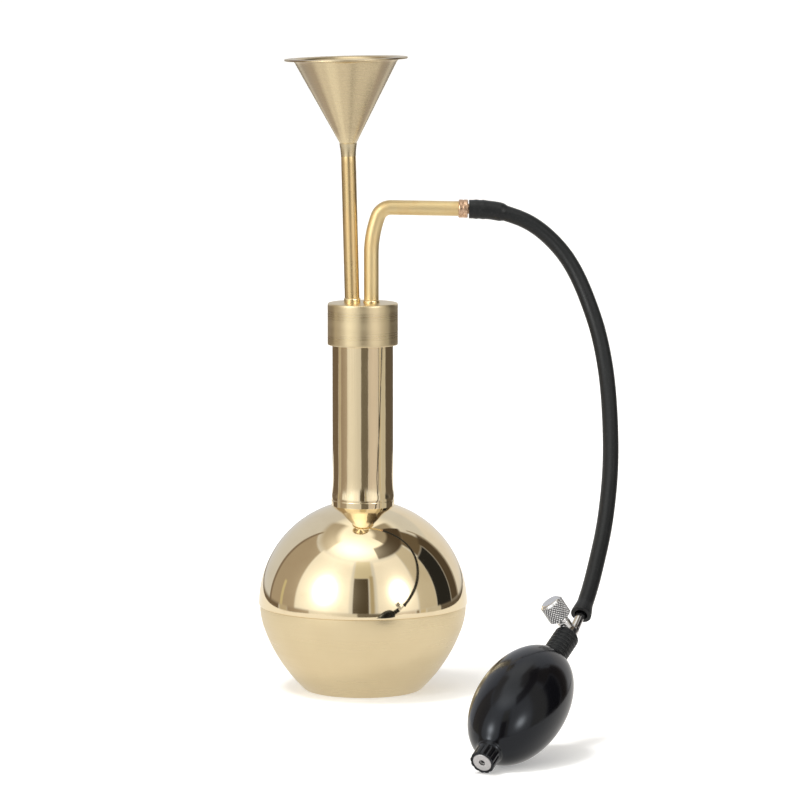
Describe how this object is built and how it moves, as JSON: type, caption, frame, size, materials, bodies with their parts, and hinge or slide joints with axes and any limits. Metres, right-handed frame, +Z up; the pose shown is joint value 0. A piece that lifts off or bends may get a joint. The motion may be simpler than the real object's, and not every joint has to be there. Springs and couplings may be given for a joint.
{
  "type": "squeeze-bulb flask blower",
  "caption": "Brass flask with a lift-off cap, a funnel on a straight stem and a bent blow pipe; a rubber squeeze bulb with a release valve pumps air in through a hose",
  "frame": {"origin": "centre of the flask's flat base, on the surface it stands on", "axes": "+Z up along the neck, +X the way the blow pipe's run points, -Y towards the front, where the bulb lies"},
  "size_m": [0.1697, 0.2628, 0.3029],
  "materials": {
    "polished_brass": "mirror polished, lightly scuffed",
    "satin_brass": "satin, finely turned",
    "copper": "copper-coloured solder and copper, mottled",
    "seal_rubber": "soft matte rubber",
    "hose_rubber": "smooth satin rubber",
    "bulb_rubber": "glossy moulded rubber",
    "chrome": "bright plating",
    "steel": "plain machined"
  },
  "bodies": {
    "flask": {"flask_bowl": "satin_brass", "flask_dome": "polished_brass", "neck_foot_ring": "polished_brass", "neck_tube": "polished_brass"},
    "seal": {"cap_gasket": "seal_rubber"},
    "head": {"cap": "satin_brass", "stem_bush": "satin_brass", "pipe_bush": "satin_brass", "stem_solder": "copper", "pipe_solder": "copper", "funnel_stem": "polished_brass", "funnel_sleeve": "copper", "funnel": "satin_brass", "blow_pipe": "polished_brass", "hose_nipple": "copper"},
    "blower": {"hose": "hose_rubber", "squeeze_bulb": "bulb_rubber", "valve_body": "chrome", "outlet_seat": "steel", "outlet_cage": "steel", "needle_packing": "seal_rubber"},
    "outlet_check_ball": {"outlet_ball": "steel"},
    "needle": {"release_needle": "steel"},
    "thumb_screw": {"release_knob": "chrome"},
    "bulb_tail": {"inlet_housing": "steel", "inlet_retainer": "steel"},
    "inlet_check_ball": {"inlet_ball": "steel"}
  },
  "joints": [
    {"name": "head_lift", "type": "slide", "parent": "flask", "child": "seal", "axis": [0, 0, 1], "range_m": [0, 0.125]},
    {"name": "cap_turn", "type": "hinge", "parent": "seal", "child": "head", "pos_m": [0, 0, 0.182], "axis": [0, 0, 1], "continuous": true},
    {"name": "hose_swivel", "type": "hinge", "parent": "head", "child": "blower", "pos_m": [0.04845, 0, 0.23069], "axis": [-0.9998, 0, 0.0175], "range_deg": [0, 60]},
    {"name": "outlet_check", "type": "slide", "parent": "blower", "child": "outlet_check_ball", "axis": [0.4132, 0.7938, 0.4462], "range_m": [0, 0.0015]},
    {"name": "needle_travel", "type": "slide", "parent": "blower", "child": "needle", "axis": [-0.5362, -0.1839, 0.8238], "range_m": [0, 0.0011]},
    {"name": "release_turn", "type": "hinge", "parent": "needle", "child": "thumb_screw", "pos_m": [0.09422, -0.13089, 0.04948], "axis": [-0.5362, -0.1839, 0.8238], "range_deg": [0, 540]},
    {"name": "bulb_squeeze", "type": "slide", "parent": "blower", "child": "bulb_tail", "axis": [0.4132, 0.7938, 0.4462], "range_m": [0, 0.015], "stiffness_N_per_m": 1300, "deforming": ["squeeze_bulb"]},
    {"name": "inlet_check", "type": "slide", "parent": "bulb_tail", "child": "inlet_check_ball", "axis": [0.4132, 0.7938, 0.4462], "range_m": [0, 0.0028]}
  ],
  "couplings": [
    {"joint": "needle_travel", "follows": "release_turn", "m_per_rad": 0.00011141}
  ]
}
